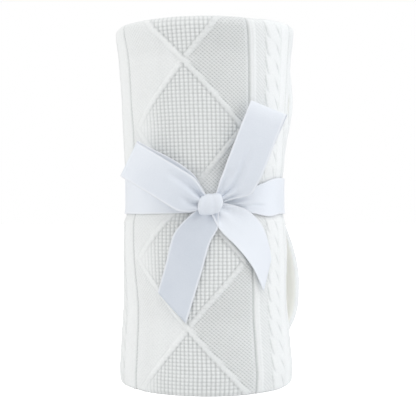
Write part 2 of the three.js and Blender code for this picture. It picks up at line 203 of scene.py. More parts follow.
# Knit pattern: a diamond panel between two ribs, and a rope cable between panels
knit = {
    "repeat": 0.134, "middle": 0.2512,
    "cells": 45.5,  # waffle cells in a repeat
    "cellRise": 0.0025, "tilt": -0.018,
    "frontLie": (  # height, how far the front panel lies along at its left, middle and right
        (0, 0.0037, 0, 0), (0.045, 0.0038, 0, 0.0001), (0.067, 0.0022, 0.00015, 0.0007),
        (0.085, -0.0004, -5e-05, 0.0002), (0.1, -0.0021, -0.00025, -0.0003),
        (0.127, -0.0038, -0.00045, -0.0006), (0.18, -0.0036, -0.0013, -0.0014),
        (0.2, -0.0052, -0.00195, -0.0028), (0.222, -0.0047, -0.0026, -0.0045),
        (0.24, -0.0061, -0.0034, -0.0063), (0.254, -0.0089, -0.0043, -0.0088),
    ),
    "frontFrom": (0.125, 0.076),  # distances where that comes in
    "stretch": {"share": 0.3, "reach": 0.03, "double": (0.12, 0.17)},  # of the plain band
    "calm": 0.03, "waver": {"amount": 0.0004, "rise": 0.021, "run": 0.034}, "crossing": 0.0452,
    "half": 0.04, "pitch": 0.09, "panelHalf": 0.0457, "panelEdge": 0.0003,
    "sides": 0.01,  # half the change from left to right
    "border": {"width": 0.005, "edge": 0.0015, "rise": 0.0006},
    "waffle": {
        "rise": 0.0013, "bothCut": 0.15, "fade": 0.9,  # the gaps grow shallower to the left, and their painted shade fades there as if more light fell on that side
        "columns": {"power": 2.4, "cut": 0.48, "pitShade": 0.85, "fadeFrom": (0.02, 0.039)},
        "rows": {"power": 2.2, "cut": 0.37, "pitShade": 0.6, "fadeFrom": (0.014, 0.033)},
    },
    "seed": {
        "rise": 0.0013, "level": 0.0005, "pitShade": 2.25,
        "checks": (0.6, 0.28, 0.12),  # shares of the falling, rising and upright lines
        "left": 0.2,  # share on the panel's left, of relief and of painted pit shade, which is lighter there as if more light fell on it
        "twill": 0.0003,  # slanting lines there
        "hatch": 0.22,  # painted shade in their troughs above a crossing
        "hatchRise": 0.01,
    },
    "ridge": {
        "half": 0.0015, "soft": 0.0009, "rise": 0.0012, "under": 0.0013, "ends": 0.0012,
        "crossed": (0.0002, 0.0012), "valley": 0.0006, "valleyHalf": 0.0008, "valleyShade": 0.65,
        # Below: the valleys fade to the left in depth and in painted shade, and the ridges and their cord
        # marks get painted shade on the right half
        "valleyFade": 0.75, "outside": 0.25, "rightShade": 0.25,
        "cord": {"pitch": 0.0045, "half": 0.0007, "slant": 0.6, "depth": 0.0003, "rightShade": 0.3},
    },
    "groove": {"at": 0.0462, "left": 0.0009, "right": 0.0012, "depth": 0.0012, "wave": 0.0001},
    "finer": {"at": (-0.0462, 0.0462, 0.0598), "width": 0.006, "share": 0.6},  # columns drawn together
    # The rib gets painted shade on the right half, where less light falls
    "rib": {"from": 0.0467, "to": 0.0509, "edge": 0.0006, "rise": 0.0006, "rightShade": 0.12},
    "piping": {"at": 0.0502, "half": 0.0009, "rise": 0.00025},
    "strip": {"from": 0.0512, "level": 0.0005, "twill": 0.0003, "slope": 0.9, "pitShade": 0.6},
    "cable": {
        "half": 0.0078, "edge": 0.0006, "overlap": 0.0004, "crown": 0.4, "pitch": 0.012, "rise": 0.001,
        "slit": 0.001, "slitWidth": 0.0005, "slitShade": 0.8, "hatch": 0.00025, "hatchFrom": (-0.001, 0.005),
        "across": (-0.0075, -0.0068, -0.0055, -0.003, 0, 0.0022, 0.0048, 0.0075),
        "fall": (-0.0105, -0.007, -0.003, -0.0008, 0.0004, 0.002, 0.0056, 0.0105),
        "open": (0.7, 1, 0.75, 0.05, 0, 0.3, 0.9, 0.4),
    },
    "pressed": {"from": 0.0135, "reach": 0.006, "share": 0.8},  # beside the ribbon
    "stretched": {"top": (0.246, 0.255, 0.5), "foot": (0.005, -0.002, 0.6), "pitShade": 0.6},  # over the folds
}


# Height of the waffle and the painted shade in its gaps
def waffleAt(q, wale, course):
    waffle = knit["waffle"]
    both, left, clear = 1, 1, 1
    for turned, line in ((wale, waffle["columns"]), (course, waffle["rows"])):
        gap = (0.5 + 0.5 * np.cos(turned)) ** line["power"]
        # Towards the left the gaps grow shallower and their painted shade fades, as if more light fell there
        gap = gap * (1 - waffle["fade"] * easeIn(-q, *line["fadeFrom"]))
        both = both * gap
        left = left - line["cut"] * gap
        # Painted shade in the gaps between the cells
        clear = clear * (1 - line["pitShade"] * gap)
    return waffle["rise"] * (left - waffle["bothCut"] * both), 1 - clear


# Seed stitch on the right of the panel; on its left it is nearly plain, with slanting lines, and painted
# lighter
def seedAt(q, rise, wale, course, rightSide):
    seed = knit["seed"]
    ways = (wale + course, wale - course, 2 * wale)
    checker = sum(share * np.cos(way) for share, way in zip(seed["checks"], ways))
    share = mixed(seed["left"], 1, rightSide)
    lines = np.cos(turn * (rise - q) / knit["cellRise"]) * (1 - rightSide)
    height = seed["level"] + (seed["rise"] * checker * share + seed["twill"] * lines) / 2
    upperHalf = easeIn(wrapped(rise - knit["crossing"], knit["pitch"]), 0, seed["hatchRise"])
    # Painted shade in the hollows of the seed stitch and in the slanting lines
    hatch = seed["hatch"] * (0.5 - 0.5 * lines) * upperHalf
    pitShade = (0.5 - 0.5 * checker) ** 4 * seed["pitShade"] * share + hatch
    return height, pitShade


# The panel: waffle diamonds in seed stitch under a trellis, whose falling ridges run on top
def panelAt(q, rise, rightSide):
    side = np.abs(q)
    wale = turn * q / (knit["repeat"] / knit["cells"])
    course = turn * rise / knit["cellRise"]
    waffle, waffleShade = waffleAt(q, wale, course)
    seed, seedShade = seedAt(q, rise, wale, course, rightSide)

    pitch, half = knit["pitch"], knit["half"]
    slope = pitch / 2 / half
    upright = 1 / math.hypot(1, slope)
    climb = rise - knit["crossing"]
    falling = wrapped(climb + slope * q, pitch) * upright
    rising = wrapped(climb - slope * q, pitch) * upright
    fromDiamond = np.abs(wrapped(climb - pitch / 2, pitch))
    inDiamond = side / half + 2 * fromDiamond / pitch < 1
    height = np.where(inDiamond, waffle, seed)
    pitShade = np.where(inDiamond, waffleShade, seedShade)
    smooth = np.zeros_like(height)

    ridge = knit["ridge"]
    cord = ridge["cord"]
    reach = easeIn(side, half + ridge["ends"], half)
    along = (climb * slope + q) * upright
    crossed = easeIn(np.abs(falling), *(ridge["half"] + apart for apart in ridge["crossed"]))
    faded = 1 - ridge["valleyFade"] * easeIn(-q, *knit["waffle"]["columns"]["fadeFrom"])
    valleyShare = np.where(inDiamond, faded, ridge["outside"] * (1 + rightSide))
    ridges = ((rising, ridge["under"], crossed, 1), (falling, ridge["rise"], 1, 0))
    for distance, rises, share, corded in ridges:
        apart = np.abs(distance)
        share = share * reach
        edge = easeIn(apart, ridge["half"] + ridge["soft"], ridge["half"] - ridge["soft"]) * share
        valley = hump(apart - ridge["half"] - ridge["valleyHalf"], ridge["valleyHalf"]) * share * valleyShare
        marks = corded * hump(wrapped(along + cord["slant"] * distance, cord["pitch"]), cord["half"])
        height = height - ridge["valley"] * valley
        # Painted shade in the valley beside each ridge
        pitShade = np.maximum(pitShade, ridge["valleyShade"] * valley)
        height = mixed(height, rises - cord["depth"] * marks, edge)
        smooth = np.maximum(smooth, edge)
        # Ridges and cord marks get painted shade on the right half, where less light falls
        pitShade = mixed(pitShade, (ridge["rightShade"] + cord["rightShade"] * marks) * rightSide, edge)
    return height, smooth, pitShade


# Between the panels: a rib at each side, a twilled strip and the rope cable
def besideAt(run, q, rise, rightSide):
    rib, piping, strip, cable = (knit[key] for key in ("rib", "piping", "strip", "cable"))
    side = np.abs(q)
    twill = np.cos(turn * (rise + strip["slope"] * q) / knit["cellRise"])
    inStrip = easeIn(side, strip["from"], strip["from"] + rib["edge"]) * rightSide
    height = mixed(rib["rise"], strip["level"], rightSide)
    height = height + strip["twill"] * 0.5 * twill * inStrip
    middle, half = (rib["from"] + rib["to"]) / 2, (rib["to"] - rib["from"]) / 2
    onRib = easeIn(np.abs(side - middle), half + rib["edge"], half - rib["edge"])
    height = mixed(height, rib["rise"], onRib)
    height = height + piping["rise"] * hump(side - piping["at"], piping["half"])
    # Painted shade in the strip's twill lines, and on the rib's right half where less light falls
    pitShade = (0.5 - 0.5 * twill) * strip["pitShade"] * inStrip * (1 - onRib) + rib["rightShade"] * onRib * rightSide

    c = wrapped(run - knit["middle"] - knit["repeat"] / 2, knit["repeat"])
    fall = np.interp(c, cable["across"], cable["fall"])
    steep = np.interp(c, cable["across"], np.gradient(cable["fall"], cable["across"]))
    slit = wrapped(rise + fall, cable["pitch"]) / np.hypot(1, steep)
    opened = np.interp(c, cable["across"], cable["open"]) * np.exp(-((slit / cable["slitWidth"]) ** 2))
    crown = np.clip(1 - (np.abs(c) / (cable["half"] + cable["overlap"])) ** 4, 0, 1)
    onCable = easeIn(np.abs(c), cable["half"] + cable["edge"], cable["half"] - cable["overlap"])
    onCable = onCable * easeIn(crown, 0, cable["crown"])
    hatch = 0.5 * cable["hatch"] * twill * easeIn(-c, *cable["hatchFrom"])
    height = mixed(height, cable["rise"] + hatch - cable["slit"] * opened, onCable)
    # Painted shade in the cable's open slits
    pitShade = mixed(pitShade, cable["slitShade"] * opened, onCable)
    return height, np.maximum(onRib, onCable), pitShade


# Height of the knit above the plain cloth, how smooth it is and how much painted shade falls in its pits,
# gaps and grooves
def reliefAt(run, rise):
    q = wrapped(run - knit["middle"], knit["repeat"])
    side = np.abs(q)
    # The right half differs in stitch and also gets painted shade, where less light falls
    rightSide = easeIn(q, -knit["sides"], knit["sides"])
    inPanel = easeIn(side, knit["panelHalf"] + knit["panelEdge"], knit["panelHalf"])
    panel, beside = panelAt(q, rise, rightSide), besideAt(run, q, rise, rightSide)
    height, smooth, pitShade = (mixed(b, a, inPanel) for a, b in zip(panel, beside))

    groove, border = knit["groove"], knit["border"]
    wave = groove["wave"] * np.cos(turn * rise / knit["cellRise"])
    cut = hump(side - groove["at"] - wave, np.where(q < 0, groove["left"], groove["right"]))
    height = height - groove["depth"] * cut
    # The groove gets full painted shade
    pitShade = np.maximum(pitShade, cut)
    plain = easeIn(run, border["width"] + border["edge"], border["width"])
    height = mixed(height, border["rise"], plain)
    smooth = np.maximum(smooth, plain)
    pitShade = pitShade * (1 - plain)

    pressed, stretched = knit["pressed"], knit["stretched"]
    beyond = np.maximum(0, np.abs(rise - band["middle"]) - pressed["from"])
    flatter = 1 - pressed["share"] * hump(beyond, pressed["reach"])
    folds = (stretched["top"], stretched["foot"])
    thinner = 1 - sum(share * easeIn(rise, start, end) for start, end, share in folds)
    return height * flatter * thinner, smooth, pitShade * mixed(1, thinner, stretched["pitShade"])


# The fold's outline from inside the bottom fold, over the outer face, to inside the top fold
def outerOutline(laid):
    low, high = cloth["bottomFold"], roll["height"] - cloth["topFold"]
    depth = np.zeros_like(laid)
    z = laid.copy()
    outDepth = -np.ones_like(laid)
    outZ = np.zeros_like(laid)
    for start, radius, way in ((low, cloth["bottomFold"], -1), (high, cloth["topFold"], 1)):
        past = (laid - start) * way
        bend = np.clip(past / radius, 0, math.pi)
        here = past > 0
        across = np.sign(np.cos(bend)) * np.abs(np.cos(bend)) ** cloth["square"]
        out = np.sin(bend) ** cloth["square"]
        tucked = np.maximum(0, past - math.pi * radius)
        depth = np.where(here, radius * (1 - across), depth)
        z = np.where(here, start + way * (radius * out - tucked), z)
        outDepth = np.where(here, -np.cos(bend), outDepth)
        outZ = np.where(here, way * np.sin(bend), outZ)
    return depth, z, outDepth, outZ, laid


# The rest of the outline: the faces inside the fold and the cloth's two edges
def innerOutline():
    low, high = cloth["bottomFold"], roll["height"] - cloth["topFold"]
    thick, room = cloth["thickness"], cloth["room"]
    secondOut, secondIn = room, room + thick
    thirdOut, thirdIn = 2 * room, 2 * room + thick
    thirdLow, secondHigh = cloth["thirdLow"], high + cloth["secondOver"]
    rim, tuck = cloth["rimRound"], cloth["innerTuck"]
    rows = []

    def face(depth, fromZ, toZ, count, outDepth):
        rows.extend((depth, z, outDepth, 0) for z in np.linspace(fromZ, toZ, count))

    def arc(middleDepth, middleZ, radius, way, count):
        for bend in np.linspace(0, math.pi, count + 2)[1:-1]:
            reach, rise = math.cos(bend) * way, math.sin(bend) * way
            rows.append((middleDepth + radius * reach, middleZ + radius * rise, -reach, -rise))

    face(thirdIn, high - tuck, thirdLow + rim, cloth["backRows"], 1)
    rows.extend([(thirdIn - rim, thirdLow, 0, -1), (thirdOut + rim, thirdLow, 0, -1)])
    face(thirdOut, thirdLow + rim, high, cloth["backRows"], -1)
    arc(cloth["topFold"], high, cloth["topFold"] - thick, 1, cloth["topRows"])
    face(thick, high, low, cloth["faceRows"], 1)
    arc(cloth["bottomFold"], low, cloth["bottomFold"] - thick, -1, cloth["bottomRows"])
    face(secondOut, low, secondHigh - rim, cloth["faceRows"], -1)
    rows.extend([(secondOut + rim, secondHigh, 0, 1), (secondIn - rim, secondHigh, 0, 1)])
    face(secondIn, secondHigh - rim, low + tuck, cloth["backRows"], 1)
    depth, z, outDepth, outZ = np.array(rows).T
    steps = np.hypot(np.diff(depth), np.diff(z))
    laid = cloth["innerLaid"] + joined([[0], np.cumsum(steps)])
    return depth, z, outDepth, outZ, laid


# Columns drawn together where the pattern has a thin line along the cloth
def finerColumns(run):
    finer = knit["finer"]
    q = wrapped(run - knit["middle"], knit["repeat"])
    pull = finer["share"] * finer["width"] / turn
    for at in finer["at"]:
        apart = (q - at) / finer["width"]
        run = run - pull * np.sin(turn * apart) * (np.abs(apart) < 0.5)
    return run


# How far the pattern lies from where an even winding would put it
def lieAlong(run, z):
    waver, stretch = knit["waver"], knit["stretch"]
    q = run - knit["middle"]
    across = np.clip(q / knit["panelHalf"], -1, 1)
    heights, *lies = zip(*knit["frontLie"])
    left, middle, right = (smoothTable(heights, lie, z) for lie in lies)
    front = middle + (right - left) / 2 * across + ((right + left) / 2 - middle) * across ** 2
    share = stretch["share"] * (1 + easeIn(z, *stretch["double"]))
    front = front - share * np.clip(-q - knit["panelHalf"], 0, stretch["reach"])
    plain = knit["tilt"] * (z - roll["height"] / 2)
    shown = easeIn(np.abs(q), *knit["frontFrom"])
    drift = waver["amount"] * np.sin(z / waver["rise"] + run / waver["run"])
    return (plain + (front - plain) * shown + drift) * easeIn(run, 0, knit["calm"])


# Points of the cloth for columns along its length and rows round its fold
def clothPoints(run, outline, reliefShare, draw=0.0):
    run = run[:, None]
    depth, z, outDepth, outZ, laid = (values[None, :] for values in outline)
    angle = angleAt(run + lieAlong(run, z))
    height, smooth, pitShade = reliefAt(run, laid)
    height = height * reliefShare - draw
    away = standOff(angle, z)
    hem = loose["hem"] * easeIn(run, loose["hemWidth"], loose["hemWidth"] / 4)
    height = height + hem * np.minimum(1, away / loose["hemFull"]) * (outDepth > 0.5)
    lift = away * isOuterLayer(depth) - outDepth * height
    points = woundPlace(angle, z, depth, lift)
    points[..., 2] = np.maximum(0, points[..., 2] + outZ * height)
    return points, mixed(1, smooth, reliefShare), pitShade * reliefShare


def isOuterLayer(depth):
    return depth < cloth["thickness"] + cloth["leeway"]


def gridFaces(first, columns, rows):
    c, r = np.meshgrid(np.arange(columns - 1), np.arange(rows - 1), indexing="ij")
    a = first + c * rows + r
    return np.stack([a, a + rows, a + rows + 1, a + 1], -1).reshape(-1, 4).tolist()


# A mesh object from points and face groups, each with its own place on the two maps
def makePiece(name, points, groups, attributes, material):
    faces = [face for group in groups for face in group["faces"]]
    mesh = bpy.data.meshes.new(name)
    mesh.from_pydata(points.tolist(), [], faces)
    corner = np.empty(len(mesh.loops), np.int32)
    mesh.loops.foreach_get("vertex_index", corner)
    ends = np.cumsum([sum(len(face) for face in group["faces"]) for group in groups])
    used = np.split(corner, ends[:-1])
    for layer, key in (("clothLay", "lay"), ("OFBake", "bake")):
        places = joined([group[key][some] for group, some in zip(groups, used)])
        mesh.uv_layers.new(name=layer).data.foreach_set("uv", places.ravel())
    flat = joined([np.full(len(group["faces"]), group.get("smooth", True)) for group in groups])
    mesh.polygons.foreach_set("use_smooth", flat)
    for key, values in attributes.items():
        mesh.attributes.new(key, "FLOAT", "POINT").data.foreach_set("value", values.astype(np.float32))
    mesh.materials.append(material)
    mesh.validate()
    return addObject(name, mesh)


# Places on the baking map: the fine face, the plain back, the end caps and the rounded rim
bakeMap = {
    "fine": (0.01, 0.6), "back": (0.66, 0.33), "caps": (0.62, 0.64), "rim": 0.012, "up": (0.01, 0.98),
    "backUp": (0.02, 0.96), "seams": (0.99, -0.98),
}


def onMap(place, share):
    return place[0] + place[1] * share


def bakeOf(run, laid, across, up):
    return spread(onMap(bakeMap[across], shareOf(run)), onMap(bakeMap[up], shareOf(laid)))


def capMap(points, depth, at):
    return np.stack([at + depth, onMap(bakeMap["up"], points[:, 2] / roll["height"])], -1)


def shareOf(values):
    return (values - values[0]) / (values[-1] - values[0])


def spread(columnValues, rowValues):
    return np.stack(np.broadcast_arrays(columnValues[:, None], rowValues[None, :]), -1).reshape(-1, 2)


# Faces that join the fine face's two long edges to the coarser back
def seamFaces(rows, firstBack, backColumns, backRows):
    every = blanket["columns"]
    faces = []
    for k in range(backColumns - 1):
        near = [(k * every + i) * rows for i in range(every + 1)]
        far = [corner + rows - 1 for corner in near]
        here, after = firstBack + k * backRows, firstBack + (k + 1) * backRows
        faces.append(far + [after, here])
        faces.append([here + backRows - 1, after + backRows - 1] + near[::-1])
    return faces


# One length of the wound cloth, as a closed piece with an end cap at each end
def clothLength(name, fineRun, laid, reliefShare, roundStart, material):
    outer, inner = outerOutline(laid), innerOutline()
    innerDepth, _, innerOut, _, innerLaid = inner
    coarseRun = fineRun[::blanket["columns"]]
    columns, rows = len(fineRun), len(laid)
    backColumns, backRows = len(coarseRun), len(innerLaid)
    finePoints, smooth, pitShade = clothPoints(fineRun, outer, reliefShare)
    backPoints, _, _ = clothPoints(coarseRun, inner, 0)
    points = joined([finePoints.reshape(-1, 3), backPoints.reshape(-1, 3)])
    depthOf = joined([np.tile(outer[0], columns), np.tile(innerDepth, backColumns)])
    firstBack = columns * rows

    # The reverse faces between the outer two layers get painted warm shade and a faint painted glow; they
    # show inside the loose end
    facesIn = (innerOut > 0) == isOuterLayer(innerDepth)
    reverse = facesIn & (innerDepth < cloth["room"] + cloth["leeway"])
    backCount = backColumns * backRows
    # Per point: stitch smoothness, painted pit shade, and the reverse faces that get painted warm shade
    attributes = {
        "knitSmooth": joined([smooth.ravel(), np.ones(backCount)]),
        "knitPitShade": joined([pitShade.ravel(), np.zeros(backCount)]),
        "knitReverseWarmShade": joined([np.zeros(firstBack), np.tile(reverse.astype(float), backColumns)]),
    }

    lay = joined([spread(fineRun, laid), spread(coarseRun, innerLaid)])
    fineBake = bakeOf(fineRun, laid, "fine", "up")
    backBake = bakeOf(coarseRun, innerLaid, "back", "backUp")
    seamUp = onMap(bakeMap["seams"], shareOf(laid) > 0.5)
    seamBake = spread(onMap(bakeMap["back"], shareOf(fineRun)), seamUp)
    fineFaces = gridFaces(0, columns, rows)
    backFaces = gridFaces(firstBack, backColumns, backRows)
    backFaces = backFaces + seamFaces(rows, firstBack, backColumns, backRows)
    groups = [
        {"faces": fineFaces, "lay": lay, "bake": joined([fineBake, backBake])},
        {"faces": backFaces, "lay": lay, "bake": joined([seamBake, backBake])},
    ]

    for column, backColumn, at, way in zip((0, columns - 1), (0, backColumns - 1), bakeMap["caps"], (1, -1)):
        ring = [column * rows + r for r in range(rows)]
        ring = ring + [firstBack + backColumn * backRows + r for r in range(backRows)]
        if column == 0 and roundStart:
            draw = cloth["rimRound"]
            drawn = [clothPoints(fineRun[:1] - draw, side, share, draw)[0].reshape(-1, 3)
                     for side, share in ((outer, reliefShare), (inner, 0))]
            count = len(ring)
            shrunk = list(range(len(points), len(points) + count))
            points = joined([points] + drawn)
            depthOf = joined([depthOf, depthOf[ring]])
            lay = joined([lay, lay[ring]])
            for key, value in (("knitSmooth", 1.0), ("knitPitShade", 0.0), ("knitReverseWarmShade", 0.0)):
                attributes[key] = joined([attributes[key], np.full(count, value)])
            after = [(i + 1) % count for i in range(count)]
            rim = [[ring[i], ring[after[i]], shrunk[after[i]], shrunk[i]] for i in range(count)]
            groups.append({"faces": rim, "lay": lay, "bake": capMap(points, depthOf, at + bakeMap["rim"])})
            ring = shrunk
        capLay = np.stack([depthOf, points[:, 2]], -1)
        cap = {"faces": [ring[::way]], "lay": capLay, "bake": capMap(points, depthOf, at), "smooth": False}
        groups.append(cap)
    return makePiece(name, points, groups, attributes, material)


# Shared shader groups
def newGroup(name, inputs, outputs):
    group = bpy.data.node_groups.new(name, "ShaderNodeTree")
    for label, value in inputs.items():
        kind = "NodeSocketVector" if value is None else "NodeSocketFloat"
        socket = group.interface.new_socket(label, in_out="INPUT", socket_type=kind)
        if value is not None:
            socket.default_value = value
    for label in outputs:
        group.interface.new_socket(label, in_out="OUTPUT", socket_type="NodeSocketFloat")
    return group, group.nodes.new("NodeGroupInput"), group.nodes.new("NodeGroupOutput")


def addNode(tree, kind, **values):
    node = tree.nodes.new("ShaderNode" + kind)
    for label, value in values.items():
        node.inputs[label].default_value = value
    return node


def calc(tree, operation, first, second=None, clamp=False):
    node = addNode(tree, "Math")
    node.operation = operation
    node.use_clamp = clamp
    for socket, value in zip(node.inputs, (first, second)):
        if isinstance(value, bpy.types.NodeSocket):
            tree.links.new(value, socket)
        elif value is not None:
            socket.default_value = value
    return node.outputs[0]


def times(tree, first, second):
    return calc(tree, "MULTIPLY", first, second)


# Small V stitches in wales and courses; Vector is in metres
stitchShape = {
    "wales": 680.0,  # in a metre
    "courses": 800.0, "lean": 1.3, "level": 0.6, "wave": 0.25, "gap": 0.5, "gapPower": 4.0,
}


def stitchGroup():
    inputs = {"Vector": None, "Wale": stitchShape["wales"], "Course": stitchShape["courses"]}
    group, given, out = newGroup("stitches", inputs, ["Height"])
    split = addNode(group, "SeparateXYZ")
    group.links.new(given.outputs["Vector"], split.inputs[0])
    wale = times(group, split.outputs["X"], given.outputs["Wale"])
    course = times(group, split.outputs["Y"], given.outputs["Course"])
    fromMiddle = calc(group, "ABSOLUTE", calc(group, "SUBTRACT", calc(group, "FRACT", wale), 0.5))
    leaning = calc(group, "SUBTRACT", course, times(group, fromMiddle, stitchShape["lean"]))
    wave = calc(group, "SINE", times(group, leaning, turn))
    gap = calc(group, "POWER", times(group, fromMiddle, 2.0), stitchShape["gapPower"])
    high = calc(group, "ADD", times(group, wave, stitchShape["wave"]), stitchShape["level"])
    high = calc(group, "SUBTRACT", high, times(group, gap, stitchShape["gap"]))
    group.links.new(high, out.inputs["Height"])
    return group


# Loose fibres: fine fuzz and a broad unevenness, in the piece's own metres
fuzzShape = {"fine": 900.0, "detail": 3, "broad": 35}


def fuzzGroup():
    group, given, out = newGroup("fuzz", {"Scale": fuzzShape["fine"]}, ["Height", "Tone"])
    place = addNode(group, "TexCoord")
    fine = addNode(group, "TexNoise", Detail=fuzzShape["detail"])
    broad = addNode(group, "TexNoise", Scale=fuzzShape["broad"])
    for noise, label in ((fine, "Height"), (broad, "Tone")):
        group.links.new(place.outputs["Object"], noise.inputs["Vector"])
        group.links.new(noise.outputs["Fac"], out.inputs[label])
    group.links.new(given.outputs["Scale"], fine.inputs["Scale"])
    return group


stitches = stitchGroup()
fuzz = fuzzGroup()


def readAttribute(tree, name):
    node = addNode(tree, "Attribute")
    node.attribute_name = name
    return node.outputs["Fac"]


def placeGroup(tree, group, **values):
    node = addNode(tree, "Group")
    node.node_tree = group
    for label, value in values.items():
        node.inputs[label].default_value = value
    return node


def mixColour(tree, share, first, second):
    node = addNode(tree, "Mix")
    node.data_type = "RGBA"
    for label, value in (("Factor", share), ("A", first), ("B", second)):
        if isinstance(value, bpy.types.NodeSocket):
            tree.links.new(value, node.inputs[label])
        else:
            node.inputs[label].default_value = (*value, 1)
    return node.outputs["Result"]


# The fuzz's tones, each counted from its middle and in its share
def fuzzTone(tree, fibre, **tones):
    parts = []
    for label, (middle, share) in tones.items():
        apart = calc(tree, "SUBTRACT", fibre.outputs[label], middle)
        parts.append(times(tree, apart, share))
    return calc(tree, "ADD", *parts)


def newMaterial(name, values):
    material = bpy.data.materials.new(name)
    material.use_nodes = True
    shader = material.node_tree.nodes["Principled BSDF"]
    for label, value in values.items():
        shader.inputs[label].default_value = value
    return material, material.node_tree, shader


def addBump(tree, shader, height, distance, strength):
    bump = addNode(tree, "Bump", Distance=distance, Strength=strength)
    tree.links.new(height, bump.inputs["Height"])
    tree.links.new(bump.outputs["Normal"], shader.inputs["Normal"])


def layOutput(tree):
    lay = addNode(tree, "UVMap")
    lay.uv_map = "clothLay"
    return lay.outputs["UV"]


# Yarn: off-white cotton; painted shade darkens it in the pits, and painted warm shade with a faint painted
# glow tints its reverse
yarn = {
    "shader": {"Roughness": 0.92, "Sheen Weight": 0.15, "Sheen Roughness": 0.6, "Specular IOR Level": 0.2},
    # The second colour is painted shade for pits, gaps and grooves; the creamy one is painted warm shade for
    # the reverse
    "face": (0.915, 0.93, 0.93), "pitShade": (0.47, 0.495, 0.49), "reverse": (0.93, 0.93, 0.89),
    "through": 0.065,  # painted glow on the reverse, standing in for light through one layer
    "paintedPitShare": 0.6, "fuzz": {"Tone": (0, 0.12), "Height": (0.5, 0.3)}, "bump": (0.0004, 0.35),
    "stitches": {"least": 0.3, "smooth": 0.7},  # height in the pattern and on plain cloth
    "fibres": 0.5,
}


def yarnMaterial():
    material, tree, shader = newMaterial("cottonYarn", yarn["shader"])
    stitch = placeGroup(tree, stitches)
    tree.links.new(layOutput(tree), stitch.inputs["Vector"])
    fibre = placeGroup(tree, fuzz)
    # Painted shade: the yarn darkens towards the shade colour where the pit attribute is high
    pitShade = calc(tree, "MULTIPLY", readAttribute(tree, "knitPitShade"), yarn["paintedPitShare"], clamp=True)
    darker = calc(tree, "ADD", pitShade, fuzzTone(tree, fibre, **yarn["fuzz"]), clamp=True)
    shaded = mixColour(tree, darker, yarn["face"], yarn["pitShade"])
    # Painted warm shade and a faint painted glow on the reverse
    reverse = readAttribute(tree, "knitReverseWarmShade")
    tree.links.new(mixColour(tree, reverse, shaded, yarn["reverse"]), shader.inputs["Base Color"])
    shader.inputs["Emission Color"].default_value = (*yarn["reverse"], 1)
    tree.links.new(times(tree, reverse, yarn["through"]), shader.inputs["Emission Strength"])
    share = times(tree, readAttribute(tree, "knitSmooth"), yarn["stitches"]["smooth"])
    share = calc(tree, "ADD", share, yarn["stitches"]["least"])
    fibreHeight = times(tree, fibre.outputs["Height"], yarn["fibres"])
    height = calc(tree, "ADD", times(tree, stitch.outputs["Height"], share), fibreHeight)
    addBump(tree, shader, height, *yarn["bump"])
    return material


cottonYarn = yarnMaterial()

# The blanket in five lengths of one cloth, cut where the pattern has a groove
blanket = {
    "columns": 4,  # of points in a waffle cell, and as many rows
    "breaks": (-341, -261, -81, 103, 195, 1267),  # in columns from the front panel's middle
    "names": ("blanketLooseEnd", "blanketBack", "blanketFront", "blanketSide", "blanketCore"),
    "hidden": {"below": 0.004, "above": 0.008, "every": 3},
    "core": {"faceRows": 12, "relief": 0.7, "top": 0.25, "fade": 0.006},
}


# Rows round the outside of the fold, sparse where another layer hides the cloth
def laidRows(isCore):
    hidden, core = blanket["hidden"], blanket["core"]
    step = knit["cellRise"] / blanket["columns"]
    low = cloth["bottomFold"] * (1 - math.pi) - cloth["tuck"]
    high = roll["height"] + cloth["topFold"] * (math.pi - 1) + cloth["tuck"]
    rows = np.arange(math.ceil(low / step), math.floor(high / step) + 1)
    laid = rows * step
    shown = (laid >= -hidden["below"]) & (laid <= roll["height"] + hidden["above"])
    kept = shown | (rows % hidden["every"] == 0)
    if isCore:
        face = (laid > core["fade"]) & (laid < core["top"] - core["fade"])
        every = face.sum() // core["faceRows"]
        kept = kept & (~face | (rows % every == 0))
    return laid[kept]


def windBlanket():
    column = knit["repeat"] / knit["cells"] / blanket["columns"]
    core = blanket["core"]
    edges = zip(blanket["breaks"], blanket["breaks"][1:])
    for index, (name, (first, last)) in enumerate(zip(blanket["names"], edges)):
        run = finerColumns(knit["middle"] + np.arange(first, last + 1) * column)
        isCore = name == "blanketCore"
        laid = laidRows(isCore)
        nearFold = easeIn(laid, core["fade"], 0) + easeIn(laid, core["top"] - core["fade"], core["top"])
        reliefShare = core["relief"] * nearFold if isCore else np.ones_like(laid)
        piece = clothLength(name, run, laid, reliefShare, index == 0, cottonYarn)
        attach(piece, "root")
        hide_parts("blanket")


windBlanket()
print("blanket wound")

# Satin ribbon: every strand is a grid of points along and across it
satin = {
    "face": (0.862, 0.9, 0.957),
    "turned": (0.655, 0.703, 0.778),  # painted shade colour, standing in for a cast shadow and for parts turned from the light
    # Lighter along both edges of the ribbon
    "lighterEdge": (0.9, 0.925, 0.975),
    "lighterEdgeFrom": (0.9, 0.96),  # shares of the half width
    "shader": {"Roughness": 0.4, "Specular IOR Level": 0.4, "Sheen Weight": 0.1},
    "fuzz": {"Tone": (0.5, 0.5), "Height": (0.5, 0.3)}, "bump": (0.0001, 0.6),
    "thread": {"pitch": 0.0003, "height": 0.3}, "fibreScale": 1100.0,
    # Painted shade on each strand
    "paintedSatinShade": {"band": 0.05, "leftTail": 0.85, "rightTail": 0.0, "knot": 0.25},
    "across": 33, "length": 0.86,  # points across, metres along
}


